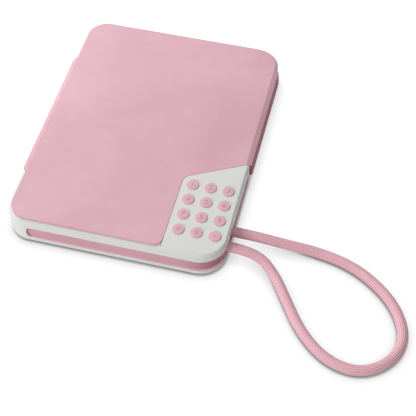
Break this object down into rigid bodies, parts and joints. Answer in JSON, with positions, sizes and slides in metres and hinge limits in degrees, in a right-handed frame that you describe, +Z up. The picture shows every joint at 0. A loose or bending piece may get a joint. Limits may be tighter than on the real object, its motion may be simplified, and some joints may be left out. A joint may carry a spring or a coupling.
{
  "type": "electronic secret diary",
  "caption": "Flat case with a hinged cover that wraps over both sides, a keypad corner with round keys, a solenoid latch, a notebook in its well and a carry cord from its side.",
  "frame": {"origin": "on the table under the middle of the case, at the bottom of the feet", "axes": "+X from the hinge to the keypad side, +Y from the front to the back, +Z up"},
  "size_m": [0.3023, 0.2708, 0.0259],
  "materials": {
    "case_plastic": "fine satin, off-white",
    "foot_rubber": "matt, light grey",
    "membrane_rubber": "matt, milky",
    "board_laminate": "satin green",
    "screw_steel": "plated",
    "buzzer_plastic": "matt black",
    "liner_plastic": "satin pink",
    "anchor_plastic": "off-white",
    "cord_braid": "braided, soft pink",
    "cell_jacket": "plain printed jacket over a metal can",
    "contact_metal": "nickel plated",
    "solenoid_steel": "plated frame and taped coil",
    "bolt_steel": "bright",
    "lid_plastic": "moulded core",
    "lid_soft_skin": "soft imitation leather, faintly clouded, pink",
    "catch_plastic": "off-white",
    "pin_steel": "plain",
    "notebook_board": "coated board, pink",
    "notebook_paper": "uncoated sheets",
    "key_plastic": "satin pink, number printed on top"
  },
  "bodies": {
    "case": {"case_shell": "case_plastic", "keypad_plate": "case_plastic", "battery_door": "case_plastic", "rubber_feet": "foot_rubber", "key_membrane": "membrane_rubber", "circuit_board": "board_laminate", "board_screws": "screw_steel", "plate_screws": "screw_steel", "battery_door_screw": "screw_steel", "buzzer": "buzzer_plastic", "side_liner": "liner_plastic", "cord_anchor": "anchor_plastic", "cord_loop": "cord_braid", "battery_1": "cell_jacket", "battery_2": "cell_jacket", "battery_3": "cell_jacket", "battery_contacts": "contact_metal", "solenoid": "solenoid_steel", "hinge_pin": "pin_steel", "notebook_cover": "notebook_board", "notebook_pages": "notebook_paper"},
    "lid": {"lid_shell": "lid_plastic", "lid_skin": "lid_soft_skin", "lid_catch": "catch_plastic", "catch_screws": "screw_steel"},
    "latch": {"latch_bolt": "bolt_steel"},
    "key_1_cap": {"key_1": "key_plastic"},
    "key_2_cap": {"key_2": "key_plastic"},
    "key_3_cap": {"key_3": "key_plastic"},
    "key_4_cap": {"key_4": "key_plastic"},
    "key_5_cap": {"key_5": "key_plastic"},
    "key_6_cap": {"key_6": "key_plastic"},
    "key_7_cap": {"key_7": "key_plastic"},
    "key_8_cap": {"key_8": "key_plastic"},
    "key_9_cap": {"key_9": "key_plastic"},
    "key_star_cap": {"key_star": "key_plastic"},
    "key_0_cap": {"key_0": "key_plastic"},
    "key_hash_cap": {"key_hash": "key_plastic"}
  },
  "joints": [
    {"name": "lid_hinge", "type": "hinge", "parent": "case", "child": "lid", "pos_m": [-0.083, 0, 0.013], "axis": [0, -1, 0], "range_deg": [0, 180]},
    {"name": "latch_slide", "type": "slide", "parent": "case", "child": "latch", "axis": [0, 1, 0], "range_m": [0, 0.004]},
    {"name": "key_1_press", "type": "slide", "parent": "case", "child": "key_1_cap", "axis": [0, 0, -1], "range_m": [0, 0.0008], "stiffness_N_per_m": 1500},
    {"name": "key_2_press", "type": "slide", "parent": "case", "child": "key_2_cap", "axis": [0, 0, -1], "range_m": [0, 0.0008], "stiffness_N_per_m": 1500},
    {"name": "key_3_press", "type": "slide", "parent": "case", "child": "key_3_cap", "axis": [0, 0, -1], "range_m": [0, 0.0008], "stiffness_N_per_m": 1500},
    {"name": "key_4_press", "type": "slide", "parent": "case", "child": "key_4_cap", "axis": [0, 0, -1], "range_m": [0, 0.0008], "stiffness_N_per_m": 1500},
    {"name": "key_5_press", "type": "slide", "parent": "case", "child": "key_5_cap", "axis": [0, 0, -1], "range_m": [0, 0.0008], "stiffness_N_per_m": 1500},
    {"name": "key_6_press", "type": "slide", "parent": "case", "child": "key_6_cap", "axis": [0, 0, -1], "range_m": [0, 0.0008], "stiffness_N_per_m": 1500},
    {"name": "key_7_press", "type": "slide", "parent": "case", "child": "key_7_cap", "axis": [0, 0, -1], "range_m": [0, 0.0008], "stiffness_N_per_m": 1500},
    {"name": "key_8_press", "type": "slide", "parent": "case", "child": "key_8_cap", "axis": [0, 0, -1], "range_m": [0, 0.0008], "stiffness_N_per_m": 1500},
    {"name": "key_9_press", "type": "slide", "parent": "case", "child": "key_9_cap", "axis": [0, 0, -1], "range_m": [0, 0.0008], "stiffness_N_per_m": 1500},
    {"name": "key_star_press", "type": "slide", "parent": "case", "child": "key_star_cap", "axis": [0, 0, -1], "range_m": [0, 0.0008], "stiffness_N_per_m": 1500},
    {"name": "key_0_press", "type": "slide", "parent": "case", "child": "key_0_cap", "axis": [0, 0, -1], "range_m": [0, 0.0008], "stiffness_N_per_m": 1500},
    {"name": "key_hash_press", "type": "slide", "parent": "case", "child": "key_hash_cap", "axis": [0, 0, -1], "range_m": [0, 0.0008], "stiffness_N_per_m": 1500}
  ]
}
